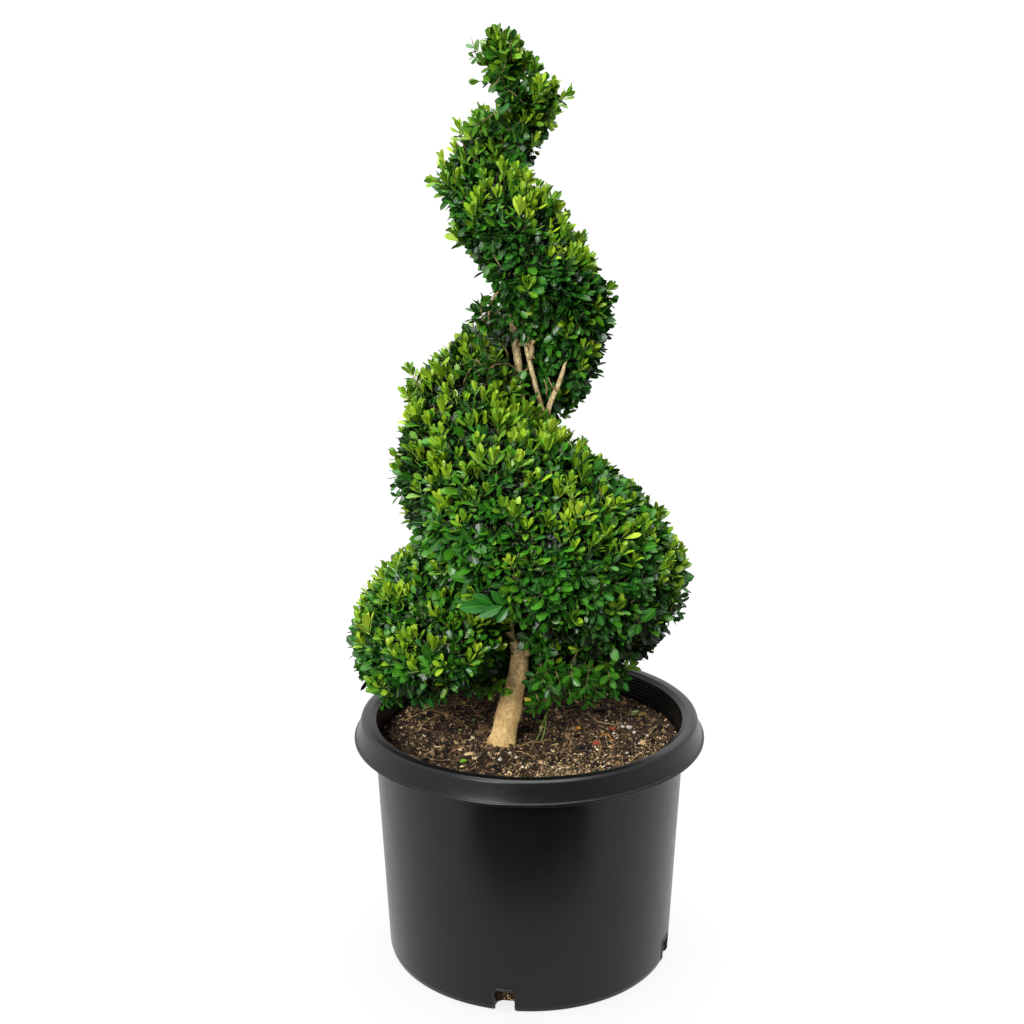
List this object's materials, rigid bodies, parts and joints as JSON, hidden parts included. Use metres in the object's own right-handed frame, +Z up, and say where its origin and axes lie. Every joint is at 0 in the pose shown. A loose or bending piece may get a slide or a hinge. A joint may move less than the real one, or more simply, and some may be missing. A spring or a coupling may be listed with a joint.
{
  "type": "spiral topiary shrub in a nursery pot",
  "caption": "Clipped boxwood spiral on one leaning stem, growing in a round black nursery pot that stands on its flat underside.",
  "frame": {"origin": "centre of the pot's flat underside, on the ground", "axes": "+Z up through the pot's axis, -Y towards the front of the plant, +X to its right"},
  "size_m": [0.4336, 0.43, 1.114],
  "materials": {
    "pot": "satin",
    "potting_mix": "matte",
    "bark": "matte",
    "leaves": "satin"
  },
  "bodies": {
    "root": {"pot": "pot", "soil": "potting_mix", "trunk": "bark", "bough_low_right": "bark", "bough_groove_left": "bark", "bough_groove_right": "bark", "foliage_tip": "leaves", "foliage_top_front": "leaves", "foliage_top_right": "leaves", "foliage_top_back": "leaves", "foliage_upper_left": "leaves", "foliage_upper_front": "leaves", "foliage_middle_right": "leaves", "foliage_middle_back": "leaves", "foliage_middle_left": "leaves", "foliage_lower_front": "leaves", "foliage_lower_right": "leaves", "foliage_lower_back": "leaves", "foliage_bottom_left": "leaves"}
  },
  "joints": []
}
